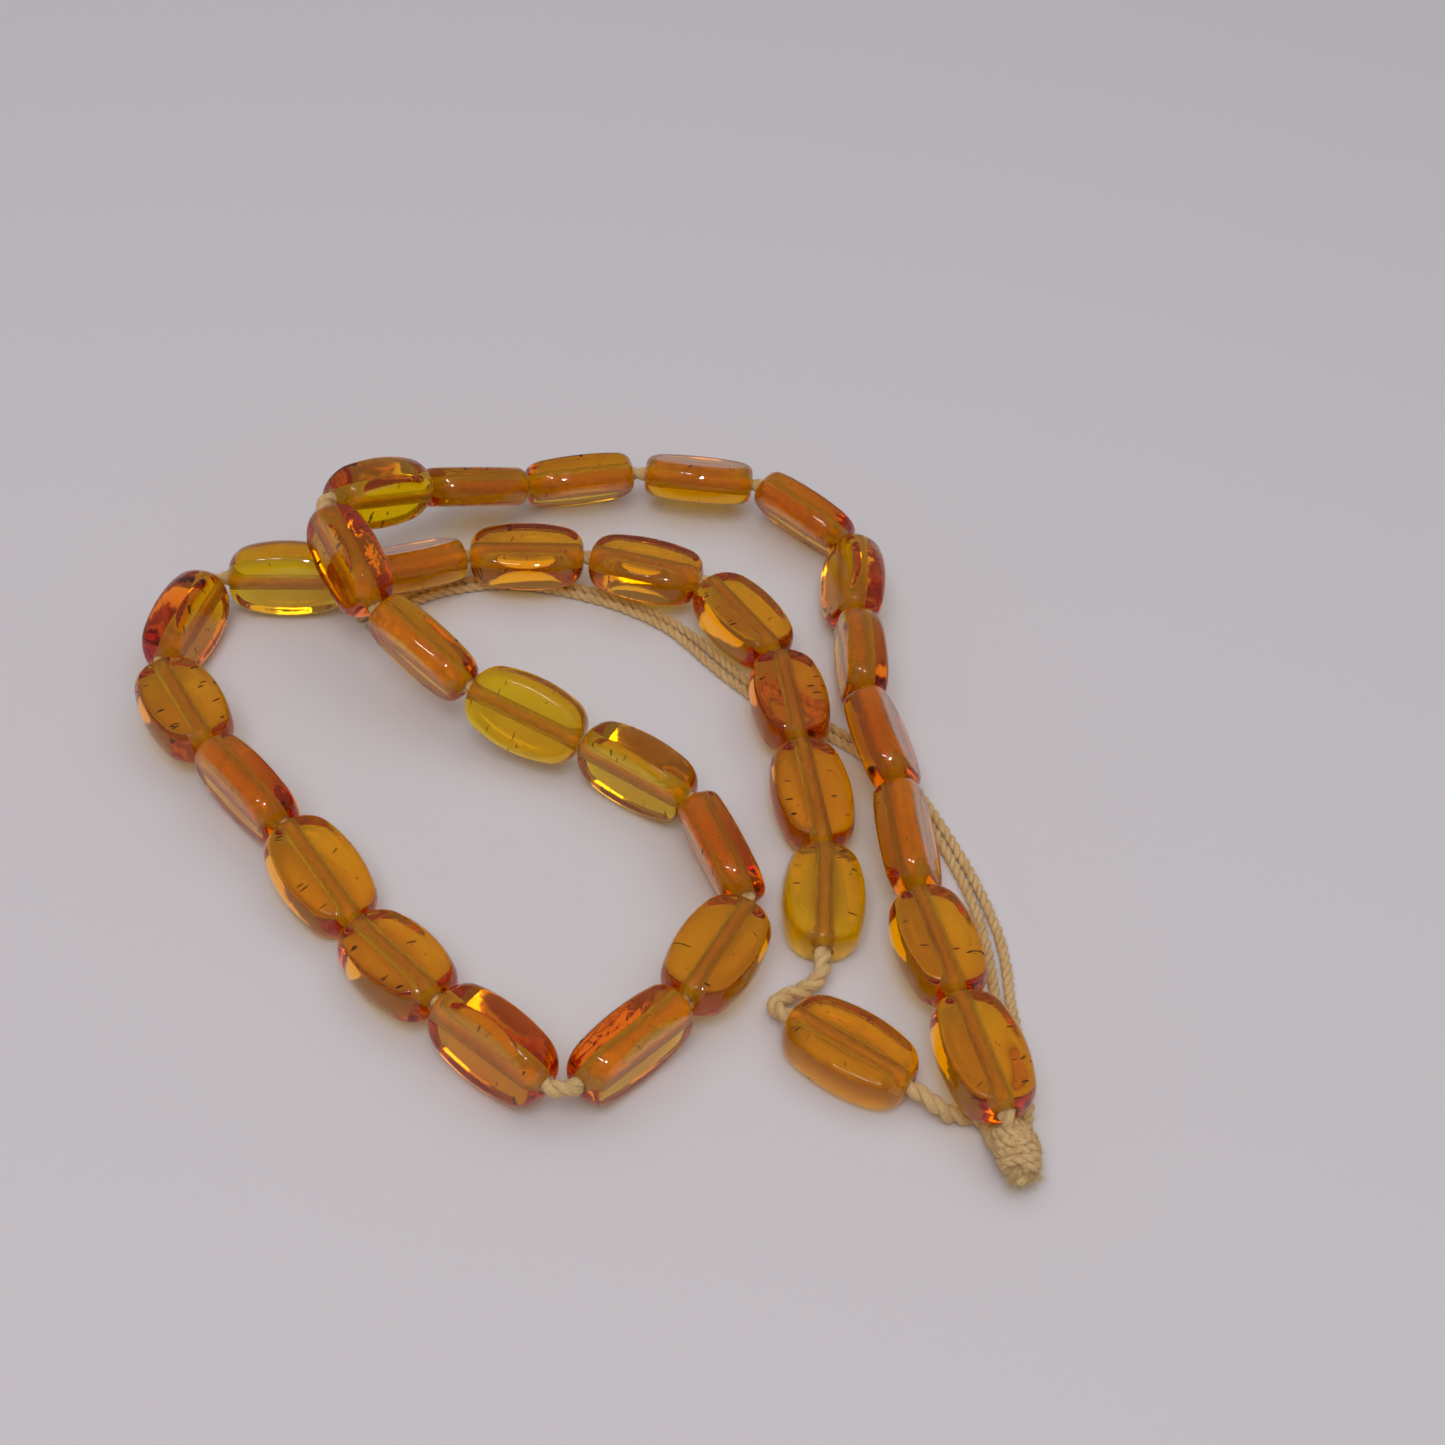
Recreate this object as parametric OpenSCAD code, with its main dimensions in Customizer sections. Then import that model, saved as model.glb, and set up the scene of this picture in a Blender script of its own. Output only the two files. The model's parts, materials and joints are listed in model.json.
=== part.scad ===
// Misbaha: thirty-three flat oval resin beads strung on one knotted cord, lying as put down.
// The cord runs through every bead and both its ends are tied in one knot beside the first bead.
// The two free ends run back beside the strand and under it as a doubled tail.

/* [Beads] */
// Length of one bead between its two bore mouths
bead_len = 13; // [10.5:0.1:16]
// Width of one bead across its flat faces
bead_w = 8.5; // [7.1:0.1:10.2]
// Thickness between the two flat faces
bead_t = 4.5; // [3.6:0.1:5.4]
// Radius of the long side arcs of the outline
side_r = 16; // [14:0.5:20]
// Radius of the rounded shoulders at both ends
shoulder_r = 3; // [2.5:0.1:3.5]

/* [Cord] */
// Diameter of the threading cord
cord_d = 1.7; // [1.4:0.05:2.1]
// Diameter of each of the two tail strands
tail_d = 1.1; // [0.9:0.05:1.4]

/* [Knot] */
// Number of wraps in the knot
wraps = 4; // [3:1:5]
// Distance from one wrap to the next
wrap_step = 1; // [0.9:0.05:1.4]
// How much smaller the last wrap's radius is than the widest one's
wrap_taper = 0.64; // [0.3:0.02:0.7]
// Length of the cut cord end past the last wrap
cut_end_len = 1.4; // [0.8:0.1:2.5]

/* [Clearances] */
// Space round the cord in a bead's bore
bore_clear = 0.075; // [0.05:0.005:0.1]
// Space between two beads at their nearest
bead_clear = 0.25; // [0.2:0.05:0.5]
// Space between a bead and the cord or tail that it lies across
cord_clear = 0.1; // [0.05:0.05:0.3]
// Extra room over the returning cord, in which the first bead can rock
return_room = 0.5; // [0.3:0.1:0.8]
// Extra room over the tail in which a flat bead can rock
rock_room = 0.5; // [0.4:0.1:1]

/* [Hidden] */
$fn = 96;
bead_r = bead_w / 2;
half_len = bead_len / 2;
bore_d = cord_d + 2 * bore_clear;

// Outline of a bead: a long arc tangent to a shoulder arc at each end
side_drop = side_r - bead_r;
shoulder_x = half_len - shoulder_r;
shoulder_y = sqrt(pow(side_r - shoulder_r, 2) - pow(shoulder_x, 2)) - side_drop;
tangent_x = shoulder_x * side_r / (side_r - shoulder_r);
face_half_w = sqrt(pow(bead_r, 2) - pow(bead_t / 2, 2));
edge_roll = acos(bead_t / bead_w);

// Height of the strand where it crosses over itself, above the strand below
cross_h = shoulder_y + sqrt(pow(shoulder_r + bead_r + bead_clear, 2) - pow(shoulder_r, 2));
// Extra cord that keeps neighbouring lanes apart when beads are wide for their length
lane_slack = max(0, bead_w - bead_len * 17 / 26);
// Height that a bead is raised by over the returning cord and over the tail
on_cord = cord_d + cord_clear + return_room;
on_tail = tail_d + cord_clear;
over_tail = on_tail + rock_room;

// One row for each bead, in order from the knot: heading and roll in degrees, the height
// that the strand is lifted by after the bead, and the extra bare cord after it
STRAND = [
    [109, 0, on_cord, 0],
    [108, 0, 0, 0],
    [100, 60, on_tail, 0],
    [106, 55, on_tail, 0],
    [97, -85, 0, 0],
    [94, -60, 0, 0],
    [142, 60, 0, 0.4 + lane_slack],
    [182, 25, 0, 1 + lane_slack],
    [201, 55, 0, 0],
    [218, 35, 0.56 * cross_h, 0],
    [227, 80, 1.12 * cross_h, 0],
    [307, 75, 0.66 * cross_h, 0],
    [328, -75, 0.25 * cross_h, 0],
    [342, 55, 0, 0],
    [332, 85, 0, 0],
    [298, -75, 0, 0],
    [248, 0, 0, 0],
    [231, 90, 0, 0],
    [146, -75, 0, 0],
    [136, 0, 0, 0],
    [133, 0, 0, 0],
    [138, 85, 0, 0],
    [127, 0, 0, 0],
    [82, 75, 0, 0],
    [10, 80, 0, 0],
    [30, -30, 0, 0],
    [7, 0, over_tail, 0.3 + lane_slack],
    [-8, -5, over_tail, 0],
    [-50, 0, over_tail, 0],
    [-77, 0, over_tail, 0],
    [-75, 0, 0, 0],
    [-88, 0, 0, 0],
    [-29, 0, 0, 0]
];
last = len(STRAND) - 1;
// Where the first bead's bore opens towards the knot
START = [43.7, -42.8];
// From the end of the last bead but one to the start of the last bead, over bare cord
LAST_STEP = [-2.6, -8.3];

// Bare cord before the last bead, from the end of the bead before it
BARE_CORD = [
    [0.05, -1.2, 0],
    [0.08, -2.4, 0],
    [-0.3, -3.3, -0.2],
    [-1.4, -4.3, -0.6],
    [-2.5, -4.8, -0.9],
    [-3.5, -5.5, -0.9],
    [-4.1, -6.5, -0.7],
    [-3.8, -7.4, -0.3],
    [-3.3, -7.9, 0]
];
// Cord from the last bead back to the knot, from the start of the first bead's bore
RETURN_CORD = [
    [-6.7, 2.4, 2.2],
    [-5.7, 1.9, 1.8],
    [-4.7, 1.7, 1.2],
    [-3.7, 1.8, 0.9],
    [-2.4, 2, 0.85],
    [-1.3, 1.6, 0.85],
    [-0.8, 0.6, 0.9],
    [-0.65, -0.4, 1.3],
    [-0.5, -1.2, 1.9],
    [-0.25, -1.9, 2.5]
];

// Middle of the doubled tail: place from the start of the first bead's bore, height over
// the ground that it rests on, and room between the two strands beyond their clearance
TAIL = [
    [1.9, -1.8, 1.65, 0],
    [1.9, -0.8, 0.95, 0],
    [2, 0.4, 0.3, 0],
    [2.1, 2, 0, 0],
    [2.3, 4, 0, 0],
    [2.2, 6.5, 0, 0],
    [1.8, 9.3, 0, 0],
    [1.3, 12.8, 0, 0],
    [0.7, 16.3, 0, 0.2],
    [0.3, 20.3, 0, 0.4],
    [-0.4, 24.3, 0, 0.3],
    [-1.6, 28.3, 0, 0.1],
    [-3.2, 32.3, 0, 0],
    [-5.1, 36.3, 0, 0],
    [-7, 39.8, 0, 0],
    [-9, 43.1, 0, 0],
    [-11.7, 46, 0, 0],
    [-14.9, 48.4, 0, 0],
    [-18.2, 50.4, 0, 0],
    [-21.7, 52.1, 0, 0],
    [-25.2, 54, 0, 0],
    [-28.4, 56.6, 0, 0.1],
    [-31.2, 59.2, 0, 0.2],
    [-33.8, 61.8, 0, 0.1],
    [-36.7, 64.2, 0, 0],
    [-40.2, 66, 0, 0],
    [-44.2, 67.4, 0, 0],
    [-48.2, 68.2, 0, 0],
    [-52.2, 68.6, 0, 0],
    [-56.2, 68.4, 0, 0],
    [-60.1, 67.2, 0, 0],
    [-63.7, 65.4, 0, 0],
    [-66.5, 63.2, 0, 0.1],
    [-68.6, 61.1, 0, 0.2],
    [-70.5, 58.7, 0, 0.3]
];

// Colours
AMBER = [0.78, 0.5, 0.08, 0.85];
STRAW = [0.8, 0.66, 0.46];

// Height of the bore over the ground when a bead rests with this roll
function rest_h(roll) = abs(roll) < edge_roll
    ? bead_t / 2 * cos(roll) + face_half_w * sin(abs(roll))
    : bead_r;

// Height of the strand at each joint between beads; joint k is after bead k, joint 0 is the start
function joint_h(k) =
    k == 0 ? rest_h(STRAND[0][1]) + on_cord
    : k > last ? rest_h(STRAND[last][1])
    : max(rest_h(STRAND[k - 1][1]), rest_h(STRAND[k][1])) + STRAND[k - 1][2];

HEIGHTS = [for (k = [0:last + 1]) joint_h(k)];
function start_h(k) = k == last ? rest_h(STRAND[last][1]) : HEIGHTS[k];
function rise(k) = HEIGHTS[k + 1] - start_h(k);
function pitch(k) = asin(rise(k) / bead_len);
function way(k) = [
    cos(STRAND[k][0]) * cos(pitch(k)),
    sin(STRAND[k][0]) * cos(pitch(k)),
    sin(pitch(k))
];

function unit(v) = v / norm(v);
function flat(v) = unit([v.x, v.y, 0]);

// Bare cord between two beads, so that their shoulders clear however either one is turned
function bend(k) = acos(min(1, way(k) * way(k + 1)));
function gap(k) = bead_clear + STRAND[k][3]
    + 2 * (shoulder_r * (1 - cos(bend(k) / 2)) + shoulder_y * sin(bend(k) / 2));
function step(k) = k == last - 1
    ? [LAST_STEP.x, LAST_STEP.y, 0]
    : gap(k) * flat(way(k) + way(k + 1));

STARTS = [
    for (k = 0, p = [START.x, START.y, start_h(0)];
        k <= last;
        p = k < last ? p + bead_len * way(k) + step(k) : p,
        k = k + 1)
    [p.x, p.y, start_h(k)]
];
ENDS = [for (k = [0:last]) STARTS[k] + bead_len * way(k)];

// A tube with flat ends, swept along points with one outline at each point
function cross_dir(along) = unit(cross([0, 0, 1], along));
function ring(p, along, r, sides) = [
    let(across = cross_dir(along), over = cross(along, across))
    for (i = [0:sides - 1])
    p + r * (cos(360 * i / sides) * across + sin(360 * i / sides) * over)
];
function heading_at(points, i) =
    i == 0 ? unit(points[1] - points[0])
    : i == len(points) - 1 ? unit(points[i] - points[i - 1])
    : unit(unit(points[i + 1] - points[i]) + unit(points[i] - points[i - 1]));

module tube(points, ways, r, sides) {
    count = len(points);
    corners = [for (i = [0:count - 1]) each ring(points[i], ways[i], r, sides)];
    skin = [
        for (i = [0:count - 2], j = [0:sides - 1])
        let(n = (j + 1) % sides, a = i * sides)
        each [[a + j, a + sides + j, a + sides + n], [a + j, a + sides + n, a + n]]
    ];
    caps = [
        [for (j = [0:sides - 1]) j],
        [for (j = [0:sides - 1]) count * sides - 1 - j]
    ];
    polyhedron(points = corners, faces = concat(skin, caps));
}

// Half of the bead's outline, cut at its long axis
module bead_profile() {
    intersection() {
        union() {
            intersection() {
                translate([-side_drop, 0]) circle(r = side_r, $fn = 240);
                translate([0, -tangent_x]) square([bead_w, 2 * tangent_x]);
            }
            for (side = [-1, 1]) {
                translate([shoulder_y, side * shoulder_x]) circle(r = shoulder_r);
            }
            translate([0, -half_len]) square([shoulder_y, bead_len]);
        }
        translate([0, -bead_len]) square([bead_w, 2 * bead_len]);
    }
}

// A barrel cut flat on both faces, with its bore along +X from the origin
module bead_shape() {
    translate([half_len, 0, 0])
    rotate([0, 90, 0])
    difference() {
        intersection() {
            rotate_extrude() bead_profile();
            cube([bead_t, 2 * bead_w, 2 * bead_len], center = true);
        }
        cylinder(d = bore_d, h = 2 * bead_len, center = true);
    }
}

module bead(k) {
    color(AMBER)
    translate(STARTS[k])
    rotate([STRAND[k][1], -pitch(k), STRAND[k][0]])
    bead_shape();
}

// Knot: a stack of wraps, widest near its middle, that leans down to the ground
KNOT_WAY = unit([1.8, -4, -2.2]);
wrap_r = cord_d / 2;
// Distance from the first bead's mouth to the middle of the first wrap
knot_off = cord_d - 0.2;
knot_start = STARTS[0] + knot_off * KNOT_WAY;
// How far along the knot it is widest, as a share of its wraps
widest_at = 0.4;
function wrap_ring_r(i) =
    wrap_r * 1.06 - wrap_taper * pow((i / (wraps - 1) - widest_at) / (1 - widest_at), 2);
knot_len = (wraps - 1) * wrap_step + 2 * wrap_r;
knot_turn = [0, acos(KNOT_WAY.z), atan2(KNOT_WAY.y, KNOT_WAY.x)];

module tie_knot() {
    meet = asin(wrap_step / 2 / wrap_r);
    outline = [
        for (i = [0:wraps - 1])
        let(low = i == 0 ? -90 : -meet, high = i == wraps - 1 ? 90 : meet)
        for (a = [low:(high - low) / 6:high + 0.01])
        [wrap_ring_r(i) + wrap_r * cos(a), i * wrap_step + wrap_r * sin(a)]
    ];
    color(STRAW)
    translate(knot_start)
    rotate(knot_turn)
    rotate_extrude($fn = 48)
    polygon(concat([[0, -wrap_r]], outline, [[0, knot_len - wrap_r]]));
}

module cut_end() {
    cut_r = wrap_r * 0.8;
    sunk = 0.3;
    color(STRAW)
    translate(knot_start + (knot_len - wrap_r - sunk) * KNOT_WAY)
    rotate(knot_turn)
    rotate_extrude()
    polygon([
        [0, 0],
        [cut_r, 0],
        [cut_r * 1.1, sunk + cut_end_len * 0.6],
        [cut_r * 0.8, sunk + cut_end_len],
        [0, sunk + cut_end_len]
    ]);
}

// The one cord through every bead, and back to the knot
cord_first = [knot_start];
cord_beads = [for (k = [0:last - 1]) each [STARTS[k], ENDS[k]]];
cord_bare = [for (p = BARE_CORD) ENDS[last - 1] + p];
cord_return = [
    for (p = RETURN_CORD)
    [STARTS[0].x + p.x, STARTS[0].y + p.y, max(p.z, cord_d / 2)]
];
CORD = concat(cord_first, cord_beads, cord_bare, [STARTS[last], ENDS[last]], cord_return);
bead_ways = [for (k = [0:last - 1]) each [way(k), way(k)]];
last_bead_at = len(CORD) - len(cord_return) - 2;
function cord_way(i) =
    i >= 1 && i <= len(bead_ways) ? bead_ways[i - 1]
    : i == last_bead_at || i == last_bead_at + 1 ? way(last)
    : heading_at(CORD, i);

module threading_cord() {
    color(STRAW)
    tube(CORD, [for (i = [0:len(CORD) - 1]) cord_way(i)], cord_d / 2, 12);
}

module tail_strand(side) {
    middle = [for (p = TAIL) [STARTS[0].x + p.x, STARTS[0].y + p.y, tail_d / 2 + p.z]];
    ways = [for (i = [0:len(middle) - 1]) heading_at(middle, i)];
    points = [
        for (i = [0:len(middle) - 1])
        middle[i] + side * (tail_d + cord_clear + TAIL[i][3]) / 2 * cross_dir(ways[i])
    ];
    color(STRAW) tube(points, ways, tail_d / 2, 8);
}

for (k = [0:last]) {
    bead(k);
}
threading_cord();
tie_knot();
cut_end();
tail_strand(-1);  // tail_strand_a
tail_strand(1);  // tail_strand_b
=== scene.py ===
"""Looks of the misbaha: clear amber resin beads with their bores, crazing and bubbles,
strung on a twisted cotton cord with a lumpy knot, a frayed end and a doubled tail."""

import json
import math
import random

import bpy
import numpy as np
from mathutils import Matrix, Vector


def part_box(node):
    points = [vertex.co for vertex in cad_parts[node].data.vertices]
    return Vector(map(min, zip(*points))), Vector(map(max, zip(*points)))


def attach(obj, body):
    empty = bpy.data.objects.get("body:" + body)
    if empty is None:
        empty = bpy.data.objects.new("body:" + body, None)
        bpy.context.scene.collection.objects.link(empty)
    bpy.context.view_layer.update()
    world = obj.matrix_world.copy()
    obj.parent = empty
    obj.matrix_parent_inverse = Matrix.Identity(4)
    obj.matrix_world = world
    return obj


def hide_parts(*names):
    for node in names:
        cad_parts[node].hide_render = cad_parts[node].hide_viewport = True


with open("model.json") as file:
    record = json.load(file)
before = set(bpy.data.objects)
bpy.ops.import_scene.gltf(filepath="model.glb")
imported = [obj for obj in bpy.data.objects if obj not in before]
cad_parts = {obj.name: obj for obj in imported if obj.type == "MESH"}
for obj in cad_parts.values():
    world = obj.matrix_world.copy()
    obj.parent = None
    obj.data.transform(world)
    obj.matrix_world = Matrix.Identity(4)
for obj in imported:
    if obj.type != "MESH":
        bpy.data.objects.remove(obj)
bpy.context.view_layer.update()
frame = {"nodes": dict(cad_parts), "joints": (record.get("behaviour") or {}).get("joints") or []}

MM = 0.001
BEADS = [f"bead_{k:02d}" for k in range(1, 34)]

# ---------------------------------------------------------------- camera

# Above the near side of the loop, looking down and a little rolled
CAMERA_AT = Vector((14.26, -148.55, 152.54)) * MM
TILT, ROLL = math.radians(44.38), math.radians(6.87)
LENS, SENSOR = 49.83, 36.0


def make_camera():
    forward = Vector((0, math.cos(TILT), -math.sin(TILT)))
    level_up = Vector((0, math.sin(TILT), math.cos(TILT)))
    level_right = Vector((1, 0, 0))
    right = math.cos(ROLL) * level_right + math.sin(ROLL) * level_up
    up = math.cos(ROLL) * level_up - math.sin(ROLL) * level_right
    data = bpy.data.cameras.new("camera")
    data.lens, data.sensor_width = LENS, SENSOR
    data.clip_start, data.clip_end = 0.01, 10
    camera = bpy.data.objects.new("camera", data)
    camera.matrix_world = Matrix.Translation(CAMERA_AT) @ Matrix(
        (right, up, -forward)
    ).transposed().to_4x4()
    bpy.context.scene.collection.objects.link(camera)
    bpy.context.scene.camera = camera


# ---------------------------------------------------------------- frame


def unit(v):
    v = np.asarray(v, float)
    return v / np.linalg.norm(v)


class BeadFrame:
    """Where a CAD bead lies: its middle, bore way, width way and face normal, and its sizes in mm."""

    def __init__(self, name):
        joint = next(j for j in frame["joints"] if j["child"] == name)
        mesh = frame["nodes"][name].data
        points = np.array([v.co for v in mesh.vertices], float) / MM
        self.name = name
        self.bore = unit(joint["axis"])
        # most of a bead's surface faces the way of its two flats
        facing = sum(f.area * np.outer(f.normal, f.normal) for f in mesh.polygons)
        face = np.linalg.eigh(facing)[1][:, -1]
        face = unit(face - (face @ self.bore) * self.bore)
        self.face = face if face[2] >= 0 else -face
        self.side = np.cross(self.face, self.bore)
        low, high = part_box(name)
        self.middle = np.array((low + high) / 2, float) / MM
        extents = [np.ptp(points @ way) for way in (self.bore, self.side, self.face)]
        self.length, self.width, self.thickness = extents
        self.start = self.middle - self.bore * self.length / 2
        self.end = self.middle + self.bore * self.length / 2
        # how far the bead slides along the cord, towards its end
        self.slide = joint["range_m"][1] / MM if joint["type"] == "slide" else 0

    def place(self, local):
        """Points in the bead's own frame, in mm, as points in the row frame, in metres."""
        ways = np.array([self.bore, self.side, self.face])
        return (self.middle + np.asarray(local) @ ways) * MM

    def turn(self, local):
        """Directions in the bead's own frame as directions in the row frame."""
        return np.asarray(local) @ np.array([self.bore, self.side, self.face])


# ---------------------------------------------------------------- mesh code


class Skin:
    """Collects vertices with their normals, and faces with their material numbers."""

    def __init__(self):
        self.points, self.normals, self.faces, self.slots = [], [], [], []
        self.count = 0

    def add(self, points, normals, faces, slot=0):
        self.points.append(np.asarray(points, float))
        self.normals.append(np.asarray(normals, float))
        self.faces += [[i + self.count for i in f] for f in faces]
        self.slots += [slot] * len(faces) if isinstance(slot, int) else list(slot)
        self.count += len(points)

    def make(self, name, materials):
        points = np.concatenate(self.points)
        normals = np.concatenate(self.normals)
        mesh = bpy.data.meshes.new(name)
        mesh.from_pydata([tuple(p) for p in points], [], self.faces)
        for material in materials:
            mesh.materials.append(material)
        mesh.polygons.foreach_set("material_index", self.slots)
        mesh.polygons.foreach_set("use_smooth", [True] * len(self.faces))
        mesh.update()
        mesh.normals_split_custom_set_from_vertices([tuple(n) for n in normals])
        piece = bpy.data.objects.new(name, mesh)
        bpy.context.scene.collection.objects.link(piece)
        return piece


def grid_faces(rows, columns, close_rows=False):
    """Quads of a grid that closes across its columns, and across its rows if asked."""
    last_row = rows if close_rows else rows - 1
    faces = []
    for i in range(last_row):
        a, b = i * columns, (i + 1) % rows * columns
        for j in range(columns):
            n = (j + 1) % columns
            faces.append([a + j, a + n, b + n, b + j])
    return faces


def frames_along(points):
    """Tangents and two crossing directions along a path, carried along it without twist."""
    tangents = np.gradient(points, axis=0)
    tangents /= np.linalg.norm(tangents, axis=1)[:, None]
    helper = np.array([0, 0, 1.0]) if abs(tangents[0][2]) < 0.9 else np.array([1.0, 0, 0])
    across = unit(np.cross(helper, tangents[0]))
    sides = []
    for t in tangents:
        across = unit(across - (across @ t) * t)
        sides.append(across)
    sides = np.array(sides)
    return tangents, sides, np.cross(tangents, sides)


# Lowest height of any cord, in mm: the parts of it that would be lower are pressed flat
GROUND = 0.01
# How far a tube's tip stands out, as a share of the tube's radius
TIP_BULGE = 0.4


def sweep(skin, points, radii, sides, ridges=0, ridge_h=0.0, ridge_turn=0.0):
    """A closed tube along points, in mm, with a radius at each one and optional twisted ridges."""
    points, radii = np.asarray(points, float), np.asarray(radii, float)
    tangents, u, v = frames_along(points)
    along = np.concatenate([[0], np.cumsum(np.linalg.norm(np.diff(points, axis=0), axis=1))])
    turn = np.linspace(0, 2 * math.pi, sides, endpoint=False)
    wave = 1 + ridge_h * np.cos(ridges * turn[None, :] + ridge_turn * along[:, None])
    out = np.cos(turn)[None, :, None] * u[:, None] + np.sin(turn)[None, :, None] * v[:, None]
    ring = points[:, None] + (radii[:, None] * wave)[..., None] * out
    ring[..., 2] = np.maximum(ring[..., 2], GROUND)
    count = len(points)
    faces = grid_faces(count, sides)
    ends = [count * sides, count * sides + 1]
    faces += [[ends[0], (j + 1) % sides, j] for j in range(sides)]
    first = (count - 1) * sides
    faces += [[ends[1], first + j, first + (j + 1) % sides] for j in range(sides)]
    tips = np.array([points[0] - tangents[0] * radii[0] * TIP_BULGE,
                     points[-1] + tangents[-1] * radii[-1] * TIP_BULGE])
    tips[:, 2] = np.maximum(tips[:, 2], GROUND)
    slope = np.sin(ridges * turn[None, :] + ridge_turn * along[:, None]) * ridges * ridge_h
    around = np.cross(tangents[:, None], out)
    normals = out + slope[..., None] * around
    normals /= np.linalg.norm(normals, axis=2)[..., None]
    skin.add(
        np.concatenate([ring.reshape(-1, 3), tips]) * MM,
        np.concatenate([normals.reshape(-1, 3), [-tangents[0], tangents[-1]]]),
        faces,
    )


def resample(points, step):
    """The same line with its points an even step apart."""
    points = np.asarray(points, float)
    along = np.concatenate([[0], np.cumsum(np.linalg.norm(np.diff(points, axis=0), axis=1))])
    even = np.linspace(0, along[-1], max(2, round(along[-1] / step) + 1))
    return np.stack([np.interp(even, along, points[:, i]) for i in range(3)], axis=1)


def smooth_line(points, ways=None, parts=10):
    """A smooth curve through points. ways gives the directions that some of them must have."""
    points = np.asarray(points, float)
    tangents = np.gradient(points, axis=0)
    tangents /= np.linalg.norm(tangents, axis=1)[:, None]
    for i, way in (ways or {}).items():
        tangents[i] = way
    t = np.linspace(0, 1, parts, endpoint=False)[:, None]
    line = []
    for i in range(len(points) - 1):
        chord = np.linalg.norm(points[i + 1] - points[i])
        line.append(
            (2 * t**3 - 3 * t**2 + 1) * points[i]
            + (t**3 - 2 * t**2 + t) * chord * tangents[i]
            + (3 * t**2 - 2 * t**3) * points[i + 1]
            + (t**3 - t**2) * chord * tangents[i + 1]
        )
    return np.concatenate(line + [points[-1:]])


FIBRE_PARTS = 4
# How much a fibre turns away from its heading at each part
FIBRE_CURL = 0.35


def fibre(skin, start, way, length, width, rng):
    """One loose cotton fibre that leaves the yarn at start and curls and thins as it goes."""
    points, heading = [np.asarray(start, float)], unit(way)
    for _ in range(FIBRE_PARTS):
        heading = unit(heading + np.array([rng.gauss(0, FIBRE_CURL) for _ in range(3)]))
        points.append(points[-1] + heading * length / FIBRE_PARTS)
        points[-1][2] = max(points[-1][2], width)
    sweep(skin, points, np.linspace(width, width * 0.3, FIBRE_PARTS + 1), 3)


PLIES = 2
PLY_SIDES = 18
# Radius of one ply as a share of the cord's radius: over a half, as plies press together
PLY_SHARE = 0.56
# Yarns in one ply, each a low ridge on it
YARNS = 6
YARN_RIDGE = 0.06
# How unevenly the plies turn round each other
WANDER = 0.09
# How much thicker or thinner a ply is in places: little enough to stay inside a bore
LUMPS = 0.07
# Points along the path for each turn of the plies
STEPS_A_TURN = 11


def twisted(skin, path, radius, pitch, rng, swell=None, fuzz=0.0, bare=None):
    """Two plies twisted along path, in mm. swell gives the cord's thickness along the path, fuzz
    is loose fibres for each mm, and bare says where, along the path, they may be."""
    path = resample(path, pitch / STEPS_A_TURN)
    tangents, u, v = frames_along(path)
    along = np.concatenate([[0], np.cumsum(np.linalg.norm(np.diff(path, axis=0), axis=1))])
    size = np.ones(len(path)) if swell is None else swell(along)
    start = rng.uniform(0, 2 * math.pi)
    wander = np.cumsum([rng.gauss(0, WANDER) for _ in path])
    angle = start + 2 * math.pi * along / pitch + wander
    for ply in range(PLIES):
        a = angle + ply * 2 * math.pi / PLIES
        out = np.cos(a)[:, None] * u + np.sin(a)[:, None] * v
        lump = 1 + LUMPS / 2 * np.sin(along * 2.7 + ply * 2 + start)
        lump += LUMPS / 2 * np.sin(along * 1.13 + ply * 3 + 2 * start)
        centre = path + out * (radius * (1 - PLY_SHARE) * size)[:, None]
        sweep(skin, centre, radius * PLY_SHARE * size * lump, PLY_SIDES,
              ridges=YARNS, ridge_h=YARN_RIDGE, ridge_turn=-2 * math.pi / (pitch * 0.8))
    for _ in range(int(fuzz * along[-1])):
        i = rng.randrange(2, len(path) - 2)
        if bare is not None and not bare(along[i]):
            continue
        turn = rng.uniform(0, 2 * math.pi)
        out = math.cos(turn) * u[i] + math.sin(turn) * v[i]
        fibre(skin, path[i] + out * radius * size[i] * 0.9,
              out * 0.7 + tangents[i] * rng.choice((-1, 1)) * rng.uniform(0.5, 1.5),
              rng.uniform(0.3, 0.9), rng.uniform(0.007, 0.014), rng)


# ---------------------------------------------------------------- materials


def new_material(name):
    """A node material, its tree and its shader."""
    material = bpy.data.materials.new(name)
    material.use_nodes = True
    tree = material.node_tree
    return material, tree, tree.nodes["Principled BSDF"]


def noise(tree, scale, detail=4.0, rough=0.55, distortion=0.0):
    """Noise over the piece's own coordinates, with scale in features for each mm."""
    coords = tree.nodes.new("ShaderNodeTexCoord")
    node = tree.nodes.new("ShaderNodeTexNoise")
    node.inputs["Scale"].default_value = scale / MM
    node.inputs["Detail"].default_value = detail
    node.inputs["Roughness"].default_value = rough
    node.inputs["Distortion"].default_value = distortion
    tree.links.new(coords.outputs["Object"], node.inputs["Vector"])
    return node.outputs["Fac"]


def ramp(tree, value, stops):
    """Colours at places from 0 to 1 along value."""
    node = tree.nodes.new("ShaderNodeValToRGB")
    elements = node.color_ramp.elements
    while len(elements) < len(stops):
        elements.new(0.5)
    for element, (place, colour) in zip(elements, stops):
        element.position = place
        element.color = (*colour, 1)
    tree.links.new(value, node.inputs["Fac"])
    return node.outputs["Color"]


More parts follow.
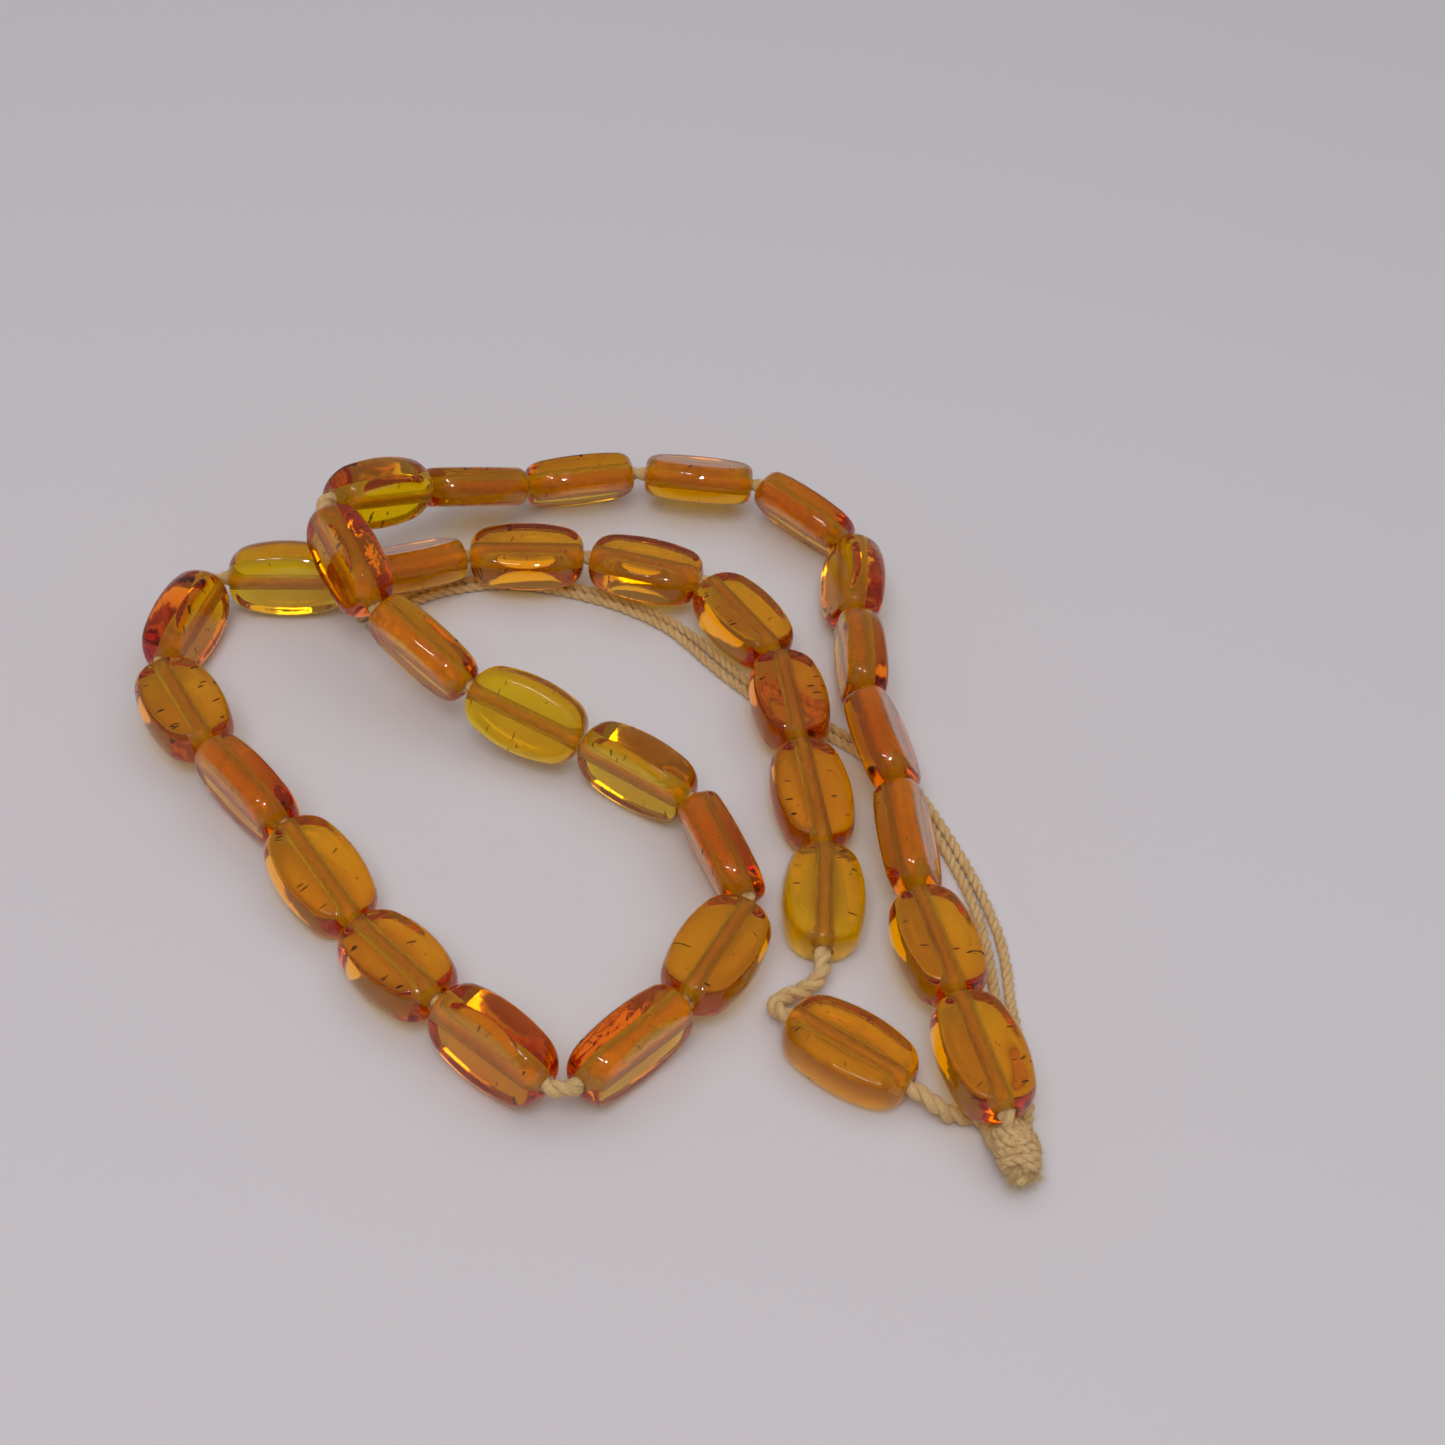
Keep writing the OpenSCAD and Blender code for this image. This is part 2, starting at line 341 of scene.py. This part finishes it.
def spread(tree, value, low, high, from_low=0.3, from_high=0.7):
    """value, which mostly lies between from_low and from_high, as a number from low to high."""
    node = tree.nodes.new("ShaderNodeMapRange")
    node.inputs["From Min"].default_value = from_low
    node.inputs["From Max"].default_value = from_high
    node.inputs["To Min"].default_value = low
    node.inputs["To Max"].default_value = high
    tree.links.new(value, node.inputs["Value"])
    return node.outputs["Result"]


def bump(tree, shader, height, strength, distance):
    """Small relief from height, with distance in mm."""
    node = tree.nodes.new("ShaderNodeBump")
    node.inputs["Strength"].default_value = strength
    node.inputs["Distance"].default_value = distance * MM
    tree.links.new(height, node.inputs["Height"])
    tree.links.new(node.outputs["Normal"], shader.inputs["Normal"])


RESIN_IOR = 1.54


def amber_material(name, green):
    """Clear resin: the depth that light passes through gives the colour. green is how much
    of green light each mm takes, and blue is nearly all taken in the first few mm."""
    material, tree, shader = new_material(name)
    cloud = noise(tree, 0.22, detail=3)
    tint = ramp(tree, cloud, [(0.3, (1.0, 0.8, 0.36)), (0.7, (1.0, 0.89, 0.5))])
    tree.links.new(tint, shader.inputs["Base Color"])
    shader.inputs["Transmission Weight"].default_value = 1.0
    shader.inputs["IOR"].default_value = RESIN_IOR
    smear = noise(tree, 0.7, detail=5)
    tree.links.new(spread(tree, smear, 0.01, 0.08), shader.inputs["Roughness"])
    bump(tree, shader, noise(tree, 0.4, detail=3), 0.4, 0.08)
    volume = tree.nodes.new("ShaderNodeVolumeAbsorption")
    volume.inputs["Color"].default_value = (0.994, 1 - green, 0.1, 1)
    volume.inputs["Density"].default_value = 1 / MM
    output = tree.nodes["Material Output"]
    tree.links.new(volume.outputs["Volume"], output.inputs["Volume"])
    return material


def bore_material():
    """The drilled wall of a bore: frosted resin, scored round by the drill."""
    material, tree, shader = new_material("drilled_bore")
    score = noise(tree, 2.5, detail=6, rough=0.7)
    colour = ramp(tree, score, [(0.3, (0.9, 0.5, 0.26)), (0.7, (1.0, 0.66, 0.4))])
    tree.links.new(colour, shader.inputs["Base Color"])
    shader.inputs["Transmission Weight"].default_value = 0.75
    shader.inputs["IOR"].default_value = RESIN_IOR
    tree.links.new(spread(tree, score, 0.35, 0.6), shader.inputs["Roughness"])
    bump(tree, shader, score, 0.5, 0.05)
    return material


def craze_material():
    """The dark faces of the small cracks inside the resin."""
    material, tree, shader = new_material("crazing")
    grain = noise(tree, 3.0)
    colour = ramp(tree, grain, [(0.3, (0.09, 0.02, 0.002)), (0.7, (0.22, 0.07, 0.01))])
    tree.links.new(colour, shader.inputs["Base Color"])
    tree.links.new(spread(tree, grain, 0.3, 0.6), shader.inputs["Roughness"])
    return material


def cotton_material(name, dark, light):
    """Twisted cotton, a little waxed: patchy colour, fine fibres and a faint sheen."""
    material, tree, shader = new_material(name)
    fibres = noise(tree, 6.0, detail=6, rough=0.75, distortion=1.2)
    patches = noise(tree, 0.5, detail=2)
    fine = ramp(tree, fibres, [(0.3, dark), (0.68, light)])
    soiled = ramp(tree, patches, [(0.35, (0.9, 0.85, 0.78)), (0.65, (1, 1, 1))])
    mix = tree.nodes.new("ShaderNodeMix")
    mix.data_type, mix.blend_type = "RGBA", "MULTIPLY"
    mix.inputs["Factor"].default_value = 1.0
    tree.links.new(fine, mix.inputs["A"])
    tree.links.new(soiled, mix.inputs["B"])
    tree.links.new(mix.outputs["Result"], shader.inputs["Base Color"])
    tree.links.new(spread(tree, fibres, 0.65, 0.95), shader.inputs["Roughness"])
    shader.inputs["Sheen Weight"].default_value = 0.1
    bump(tree, shader, fibres, 0.8, 0.08)
    return material


def floor_material():
    material, tree, shader = new_material("pale_floor")
    shader.inputs["Base Color"].default_value = (0.8, 0.755, 0.785, 1)
    shader.inputs["Roughness"].default_value = 0.85
    return material


# ---------------------------------------------------------------- cords

# Routes in mm, as in the CAD source: from the end of the last bead but one, and from the
# start of the first bead's bore
BARE_CORD = [
    (0.05, -1.2, 0), (0.08, -2.4, 0), (-0.3, -3.3, -0.2), (-1.4, -4.3, -0.6),
    (-2.5, -4.8, -0.9), (-3.5, -5.5, -0.9), (-4.1, -6.5, -0.7), (-3.8, -7.4, -0.3),
    (-3.3, -7.9, 0),
]
RETURN_CORD = [
    (-6.7, 2.4, 2.2), (-5.7, 1.9, 1.8), (-4.7, 1.7, 1.2), (-3.7, 1.8, 0.9),
    (-2.4, 2, 0.85), (-1.3, 1.6, 0.85), (-0.8, 0.6, 0.9), (-0.65, -0.4, 1.3),
    (-0.5, -1.2, 1.9), (-0.25, -1.9, 2.5),
]
# Middle of the doubled tail: place, height over the ground that it rests on, extra spread
TAIL = [
    (1.9, -1.8, 1.65, 0), (1.9, -0.8, 0.95, 0), (2, 0.4, 0.3, 0), (2.1, 2, 0, 0),
    (2.3, 4, 0, 0), (2.2, 6.5, 0, 0), (1.8, 9.3, 0, 0), (1.3, 12.8, 0, 0), (0.7, 16.3, 0, 0.2),
    (0.3, 20.3, 0, 0.4), (-0.4, 24.3, 0, 0.3), (-1.6, 28.3, 0, 0.1), (-3.2, 32.3, 0, 0),
    (-5.1, 36.3, 0, 0), (-7, 39.8, 0, 0), (-9, 43.1, 0, 0), (-11.7, 46, 0, 0),
    (-14.9, 48.4, 0, 0), (-18.2, 50.4, 0, 0), (-21.7, 52.1, 0, 0), (-25.2, 54, 0, 0),
    (-28.4, 56.6, 0, 0.1), (-31.2, 59.2, 0, 0.2), (-33.8, 61.8, 0, 0.1), (-36.7, 64.2, 0, 0),
    (-40.2, 66, 0, 0), (-44.2, 67.4, 0, 0), (-48.2, 68.2, 0, 0), (-52.2, 68.6, 0, 0),
    (-56.2, 68.4, 0, 0), (-60.1, 67.2, 0, 0), (-63.7, 65.4, 0, 0), (-66.5, 63.2, 0, 0.1),
    (-68.6, 61.1, 0, 0.2), (-70.5, 58.7, 0, 0.3),
]
CORD_D, TAIL_D = 1.7, 1.1
# Space between the two tail strands where nothing spreads them
STRAND_GAP = 0.1
# From the first bead's mouth to the knot's first wrap
KNOT_OFF = 1.5
TWIST_PITCH, TAIL_PITCH = 3.4, 2.3
# Loose fibres for each mm
TAIL_FUZZ, CORD_FUZZ = 9, 45
# Steps of the smooth line between two route points
ROUTE_PARTS = 12
# How far from a bead's mouth loose fibres keep
MOUTH_ROOM = 0.3


def knot_axis(first):
    """Where the knot begins and which way it points, from the first bead and the cut end."""
    low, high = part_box("cut_end")
    way = unit(np.array((low + high) / 2, float) / MM - first.start)
    return first.start + KNOT_OFF * way, way


def make_tails(first, material):
    """The two free strands that run back under the beads, each set on the cord's body in place of its
    CAD strand.
    """
    middle = np.array([(x, y, TAIL_D / 2 + z) for x, y, z, _ in TAIL])
    middle[:, :2] += first.start[:2]
    ways = np.gradient(middle, axis=0)
    across = np.stack([-ways[:, 1], ways[:, 0], 0 * ways[:, 0]], axis=1)
    across /= np.linalg.norm(across, axis=1)[:, None]
    spreads = np.array([TAIL_D + STRAND_GAP + extra for *_, extra in TAIL])
    for letter, side in (("a", -1), ("b", 1)):
        rng = random.Random(f"tail {letter}")
        line = smooth_line(middle + side * across * spreads[:, None] / 2)
        skin = Skin()
        twisted(skin, line, TAIL_D / 2, TAIL_PITCH, rng, fuzz=TAIL_FUZZ)
        piece = skin.make(f"cord_tail_{letter}", [material])
        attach(piece, "cord")
        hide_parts(f"tail_strand_{letter}")


def make_threading_cord(beads, material):
    """The cord through every bead, along its whole route."""
    knot_start, knot_way = knot_axis(beads[0])
    points, ways = [knot_start], {0: -knot_way}
    for bead in beads[:-1]:
        for p in (bead.start, bead.end):
            ways[len(points)] = bead.bore
            points.append(p)
    points += [beads[-2].end + np.array(p) for p in BARE_CORD]
    for p in (beads[-1].start, beads[-1].end):
        ways[len(points)] = beads[-1].bore
        points.append(p)
    ground = np.array([*beads[0].start[:2], 0])
    points += [ground + np.array(p) for p in RETURN_CORD]
    line = smooth_line(points, ways, parts=ROUTE_PARTS)
    along = np.concatenate([[0], np.cumsum(np.linalg.norm(np.diff(line, axis=0), axis=1))])
    mouths = np.array([*range(1, 2 * len(beads) - 2, 2), len(points) - len(RETURN_CORD) - 2])
    enters = along[mouths * ROUTE_PARTS]
    leaves = along[(mouths + 1) * ROUTE_PARTS] + np.array([bead.slide for bead in beads])

    def bare(s):
        """Whether no bead covers the cord here, even when it slides."""
        return not ((enters - MOUTH_ROOM < s) & (s < leaves + MOUTH_ROOM)).any()

    skin = Skin()
    rng = random.Random("cord")
    twisted(skin, line, CORD_D / 2, TWIST_PITCH, rng, fuzz=CORD_FUZZ, bare=bare)
    piece = skin.make("twisted_cord", [material])
    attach(piece, "cord")
    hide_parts("threading_cord")


KNOT_TURNS = 4.3
COIL_STEPS = 130
COIL_R, CROSS_R, STUB_R = 0.58, 0.46, 0.66
# Strands laid across the wraps: where they begin round the knot, how far they turn round it,
# and the heights that they run between
CROSSINGS = [
    (0.2, 2.2, -0.5, 2.4), (2.1, -2.5, -0.3, 3.0), (3.9, 2.0, -0.2, 3.2),
    (5.2, -1.9, 0.2, 3.4), (1.2, 2.6, 0.8, 3.5),
]
# Loose fibres for each mm of a wrap and of a stub, and the fibres of the frayed end
KNOT_FUZZ, END_FUZZ, END_FIBRES = 30, 60, 900
# Outer radius of the knot at places along it, from its first wrap
KNOT_HEIGHTS = (-0.6, 0, 0.9, 1.9, 2.9, 3.7)
KNOT_RADII = (1.3, 1.85, 2.15, 2.15, 2.0, 1.7)


class KnotFrame:
    """Points round the knot's axis, and how far along it the frayed end begins."""

    def __init__(self, first):
        self.start, self.way = knot_axis(first)
        self.u = unit(np.cross((0, 0, 1), self.way))
        self.v = np.cross(self.way, self.u)
        low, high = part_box("cut_end")
        cut = (np.array((low + high) / 2, float) / MM - self.start) @ self.way
        self.length = float(cut) - 0.7

    def out(self, angle):
        return math.cos(angle) * self.u + math.sin(angle) * self.v

    def at(self, angle, radius, height):
        return self.start + self.way * height + radius * self.out(angle)

    def under_skin(self, angle, depth, height):
        """A point this deep under the knot's outer surface."""
        return self.at(angle, float(np.interp(height, KNOT_HEIGHTS, KNOT_RADII)) - depth, height)


def make_wraps(knot, rng, material):
    """The coil round the knot and the strands laid across it."""
    skin, coil = Skin(), []
    for i in range(COIL_STEPS + 1):
        t = i / COIL_STEPS
        angle = 2 * math.pi * KNOT_TURNS * t
        height = -0.15 + (knot.length - 0.25) * t + 0.38 * math.cos(angle - 0.8)
        coil.append(knot.under_skin(angle, COIL_R, height))
    twisted(skin, coil, COIL_R, 1.9, rng, fuzz=KNOT_FUZZ)
    for begins, lean, low, high in CROSSINGS:
        cross = []
        for t in np.linspace(0, 1, 15):
            # both ends dive under the wraps
            depth = CROSS_R - 0.06 + 0.45 * (2 * t - 1) ** 4
            cross.append(knot.under_skin(begins + lean * t, depth, low + (high - low) * t))
        twisted(skin, cross, CROSS_R, 1.7, rng, fuzz=KNOT_FUZZ)
    piece = skin.make("cord_knot", [material])
    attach(piece, "cord")
    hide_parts("tie_knot")


def make_frayed_end(knot, rng, material):
    """Three short stubs where the cord was cut, in a brush of loose fibres."""
    skin = Skin()
    for begins in (0.4, 2.5, 4.6):
        stub = [knot.at(begins + 0.35 * i, 0.62, knot.length - 0.9 + 0.25 * i) for i in range(8)]
        twisted(skin, stub, STUB_R, 2.2, rng, swell=lambda s: 1.1 - 0.1 * s, fuzz=END_FUZZ)
    for _ in range(END_FIBRES):
        angle, radius = rng.uniform(0, 2 * math.pi), 1.2 * math.sqrt(rng.random())
        root = knot.at(angle, radius, knot.length + rng.uniform(-0.6, 1.0))
        heading = knot.way * rng.uniform(-0.3, 1) + knot.out(angle) * rng.uniform(0.2, 1.2)
        fibre(skin, root, heading, rng.uniform(0.5, 1.6), rng.uniform(0.01, 0.02), rng)
    piece = skin.make("frayed_end", [material])
    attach(piece, "cord")
    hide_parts("cut_end")


# ---------------------------------------------------------------- beads

# Long side arc and shoulder arc of a bead's outline, and radius of its bore, as in the CAD source
SIDE_R, SHOULDER_R = 16.0, 3.0
BORE_R = 0.925
# How far from the edge of a flat the surface begins to round over
EDGE = 0.8
# Halvings in the search for the surface along a ray
RAY_STEPS = 44


class BeadShape:
    """The bead's outer surface: a barrel of revolution and two flats, blended over a soft edge."""

    def __init__(self, bead):
        self.r = bead.width / 2
        self.half = bead.length / 2
        self.flat = bead.thickness / 2
        self.drop = SIDE_R - self.r
        self.shoulder_x = self.half - SHOULDER_R
        reach = SIDE_R - SHOULDER_R
        self.shoulder_y = math.sqrt(reach**2 - self.shoulder_x**2) - self.drop
        self.tangent_x = self.shoulder_x * SIDE_R / reach

    def barrel(self, x):
        """Radius of the barrel at x."""
        x = np.abs(x)
        side = np.sqrt(SIDE_R**2 - np.minimum(x, self.tangent_x) ** 2) - self.drop
        lean = np.clip(x - self.shoulder_x, 0, SHOULDER_R)
        shoulder = self.shoulder_y + np.sqrt(SHOULDER_R**2 - lean**2)
        return np.where(x < self.tangent_x, side, shoulder)

    def outside(self, p):
        """Above 0 outside the bead, below 0 inside, and 0 on its surface."""
        a = np.hypot(p[..., 1], p[..., 2]) - self.barrel(p[..., 0])
        b = np.abs(p[..., 2]) - self.flat
        near = np.maximum(EDGE - np.abs(a - b), 0) / EDGE
        return np.maximum(a, b) + near**2 * EDGE / 4

    def surface(self, x, angle):
        """The surface point at x, met by a ray from the axis at this angle."""
        ray = np.stack([0 * x, np.cos(angle), np.sin(angle)], axis=-1)
        base = np.stack([x, 0 * x, 0 * x], axis=-1)
        low, high = np.zeros_like(x), np.full_like(x, self.r + 1)
        for _ in range(RAY_STEPS):
            middle = (low + high) / 2
            out = self.outside(base + ray * middle[..., None]) > 0
            high = np.where(out, middle, high)
            low = np.where(out, low, middle)
        return base + ray * low[..., None]

    def normals(self, p):
        """Directions in which outside() grows fastest."""
        small = 1e-4
        grown = [self.outside(p + small * e) - self.outside(p - small * e) for e in np.eye(3)]
        n = np.stack(grown, axis=-1)
        return n / np.linalg.norm(n, axis=-1)[..., None]

    def stations(self):
        """Places along the bead, closest where the flat runs out on the shoulder."""
        tangent = math.asin((self.tangent_x - self.shoulder_x) / SHOULDER_R)
        runs_out = math.acos((self.flat - self.shoulder_y) / SHOULDER_R)
        mouth = math.acos((BORE_R - self.shoulder_y) / SHOULDER_R)
        near = math.radians(5)
        lean = np.concatenate([
            np.linspace(tangent, runs_out - near, 9, endpoint=False),
            np.linspace(runs_out - near, runs_out + near, 9, endpoint=False),
            np.linspace(runs_out + near, mouth, 7),
        ])
        end = self.shoulder_x + SHOULDER_R * np.sin(lean)
        side = np.linspace(-self.tangent_x, self.tangent_x, 15)[1:-1]
        return np.concatenate([-end[::-1], side, end])

    def angles(self, x):
        """For each station, angles round the bead, closest at the edges of the flats."""
        radius = self.barrel(x)
        # past the end of the flats there is no edge, and the angles only stay in order
        corner = np.arcsin(np.clip(self.flat / radius, 0, 0.985))[:, None]
        room = np.minimum(corner, math.pi / 2 - corner)
        fillet = np.minimum(1.1 * EDGE / radius[:, None], 0.6 * room)
        wall = np.linspace(0, 1, 8)[:-1] * (corner - fillet)
        edge = corner + fillet * np.linspace(-1, 1, 7)
        flat = corner + fillet + (math.pi / 2 - corner - fillet) * np.linspace(0, 1, 7)[1:]
        quarter = np.concatenate([wall, edge, flat], axis=1)
        half = np.concatenate([quarter, math.pi - quarter[:, -2::-1]], axis=1)
        return np.concatenate([half, half[:, 1:-1] + math.pi], axis=1)


# The material slots of a bead
RESIN, DRILLED, CRAZED = 0, 1, 2


def ellipsoid(skin, bead, centre, ways, radii, slot, inward=False, rows=5, columns=8):
    """A small closed ellipsoid in the bead's own frame. inward turns its faces inside out."""
    lat = np.linspace(-math.pi / 2, math.pi / 2, rows + 2)[1:-1]
    lon = np.linspace(0, 2 * math.pi, columns, endpoint=False)
    ball = np.stack([
        (np.cos(lat)[:, None] * np.cos(lon)[None, :]).ravel(),
        (np.cos(lat)[:, None] * np.sin(lon)[None, :]).ravel(),
        (np.sin(lat)[:, None] * np.ones(columns)[None, :]).ravel(),
    ], axis=1)
    ball = np.concatenate([ball, [[0, 0, -1], [0, 0, 1]]])
    ways, radii = np.array(ways), np.array(radii)
    points = centre + (ball * radii) @ ways
    normals = (ball / radii) @ ways
    normals /= np.linalg.norm(normals, axis=1)[:, None]
    faces = grid_faces(rows, columns)
    south, north, top = rows * columns, rows * columns + 1, (rows - 1) * columns
    faces += [[south, (j + 1) % columns, j] for j in range(columns)]
    faces += [[north, top + j, top + (j + 1) % columns] for j in range(columns)]
    flip = -1 if inward else 1
    if inward:
        faces = [f[::-1] for f in faces]
    skin.add(bead.place(points), flip * bead.turn(normals), faces, slot)


# Half the thickness of a crack
CRACK_T = 0.035


def add_crazing(skin, bead, shape, rng):
    """Short dark cracks that run in from the rims, and a few round the bore."""
    for _ in range(rng.randint(5, 12)):
        x = rng.uniform(-0.8, 0.8) * shape.half
        radius = float(shape.barrel(np.array(x)))
        rim = math.sqrt(max(radius**2 - shape.flat**2, 0.2))
        inner = BORE_R + 0.5
        depth = rng.uniform(0.12, 0.3)
        reach = rng.uniform(0.25, 0.6)
        if rim - reach - 0.25 < inner:
            continue
        near_rim = rng.random() < 0.7
        y = rim - reach - rng.uniform(0.1, 0.4) if near_rim else rng.uniform(inner, rim - reach)
        y = max(y, inner) * rng.choice((-1, 1))
        z = (shape.flat - depth - 0.08) * rng.choice((-1, 1, 1))
        lean = rng.gauss(0, 0.25)
        along = np.array([math.sin(lean), math.cos(lean), 0])
        up = np.array([0, 0, 1.0])
        ways = [along, up, np.cross(along, up)]
        ellipsoid(skin, bead, np.array([x, y, z]), ways, (reach, depth, CRACK_T), CRAZED)


def add_bubbles(skin, bead, shape, rng):
    """Tiny air bubbles caught in the resin."""
    for _ in range(rng.randint(3, 7)):
        radius = rng.uniform(0.05, 0.12)
        x = rng.uniform(-0.65, 0.65) * shape.half
        y = rng.uniform(BORE_R + 0.3, shape.r * 0.72) * rng.choice((-1, 1))
        z = rng.uniform(-0.8, 0.8) * shape.flat
        ellipsoid(skin, bead, np.array([x, y, z]), np.eye(3), (radius,) * 3, RESIN, inward=True)


def make_bead(bead, amber, bore, craze):
    """One closed skin: the outer surface and the bore's wall, with cracks and bubbles inside."""
    shape = BeadShape(bead)
    rng = random.Random(bead.name)
    x = shape.stations()
    angles = shape.angles(x)
    rows, columns = angles.shape
    outer = shape.surface(np.repeat(x[:, None], columns, axis=1), angles)
    outer_n = shape.normals(outer)
    bore_x = np.linspace(x[-1], x[0], 9)
    turn = angles[rows // 2]
    wall_n = np.stack([0 * turn, -np.cos(turn), -np.sin(turn)], axis=1)
    wall = np.array([np.stack([0 * turn + bx, BORE_R * np.cos(turn), BORE_R * np.sin(turn)],
                              axis=1) for bx in bore_x])
    # the outermost rings meet the bore's end rings, so the skin closes on itself
    points = np.concatenate([outer[1:-1], wall]).reshape(-1, 3)
    normals = np.concatenate([outer_n[1:-1], np.repeat(wall_n[None], len(bore_x), axis=0)])
    total = rows - 2 + len(bore_x)
    faces = grid_faces(total, columns, close_rows=True)
    slots = []
    for i in range(total):
        slots += [DRILLED if rows - 2 <= i < total - 1 else RESIN] * columns
    skin = Skin()
    skin.add(bead.place(points), bead.turn(normals.reshape(-1, 3)), faces, slots)
    add_crazing(skin, bead, shape, rng)
    add_bubbles(skin, bead, shape, rng)
    piece = skin.make("amber_" + bead.name, [amber, bore, craze])
    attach(piece, bead.name)
    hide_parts(bead.name)


# ---------------------------------------------------------------- stage


FLOOR_HALF = 1.5


def make_floor():
    mesh = bpy.data.meshes.new("floor")
    corners = [(FLOOR_HALF * x, FLOOR_HALF * y, 0) for x, y in ((-1, -1), (1, -1), (1, 1), (-1, 1))]
    mesh.from_pydata(corners, [], [[0, 1, 2, 3]])
    mesh.materials.append(floor_material())
    floor = bpy.data.objects.new("floor", mesh)
    bpy.context.scene.collection.objects.link(floor)


def area_light(name, at, size, power):
    """A light of this width and height, in metres, that shines at the origin."""
    data = bpy.data.lights.new(name, "AREA")
    data.energy = power
    data.shape = "DISK" if size[0] == size[1] else "RECTANGLE"
    data.size, data.size_y = size
    light = bpy.data.objects.new(name, data)
    turn = (-Vector(at)).to_track_quat("-Z", "Y").to_matrix().to_4x4()
    light.matrix_world = Matrix.Translation(at) @ turn
    bpy.context.scene.collection.objects.link(light)
    return light


def make_lights():
    world = bpy.data.worlds.new("studio")
    world.use_nodes = True
    background = world.node_tree.nodes["Background"]
    background.inputs["Color"].default_value = (0.93, 0.9, 0.93, 1)
    background.inputs["Strength"].default_value = 0.22
    bpy.context.scene.world = world
    key = area_light("key", (-0.05, -0.32, 0.58), (0.4, 0.4), 1.15)
    fill = area_light("fill", (0.1, 0.1, 0.95), (1.6, 1.6), 3.7)
    # the resin mirrors only the dim room and the two glints, so that its colour stays deep
    key.visible_glossy = fill.visible_glossy = False
    glint = area_light("glint", (0.03, -0.17, 0.21), (0.014, 0.014), 0.16)
    rim_glint = area_light("rim_glint", (-0.12, -0.24, 0.42), (0.16, 0.015), 0.2)
    for light in (glint, rim_glint):
        light.visible_diffuse = light.visible_transmission = False
    scene = bpy.context.scene
    scene.view_settings.view_transform = "Standard"
    # light is mirrored many times inside a bead before it finds its way out
    scene.cycles.max_bounces = scene.cycles.glossy_bounces = 16


# ---------------------------------------------------------------- all

make_camera()
bead_frames = [BeadFrame(name) for name in BEADS]
cotton = cotton_material("waxed_cotton", (0.64, 0.37, 0.13), (0.97, 0.72, 0.36))
# The frayed end has a lighter copy of the cotton colours: painted light, making up for the shade
# among its thin fibres.
cotton_end_painted_lighter = cotton_material("waxed_cotton_end", (0.9, 0.62, 0.24), (1.0, 0.84, 0.46))
make_tails(bead_frames[0], cotton)
make_threading_cord(bead_frames, cotton)
knot_frame, knot_rng = KnotFrame(bead_frames[0]), random.Random("knot")
make_wraps(knot_frame, knot_rng, cotton)
make_frayed_end(knot_frame, knot_rng, cotton_end_painted_lighter)

# How much green each mm of resin takes
AMBERS = {
    "light": amber_material("amber_light", 0.054),
    "mid": amber_material("amber_mid", 0.082),
    "deep": amber_material("amber_deep", 0.104),
}
LIGHT_BEADS = {11, 14, 15, 25, 32}
DEEP_BEADS = {4, 7, 12, 16, 19, 22, 24, 30}
drilled, crazing = bore_material(), craze_material()
for number, one in enumerate(bead_frames, start=1):
    shade = "light" if number in LIGHT_BEADS else "deep" if number in DEEP_BEADS else "mid"
    make_bead(one, AMBERS[shade], drilled, crazing)

make_floor()
make_lights()
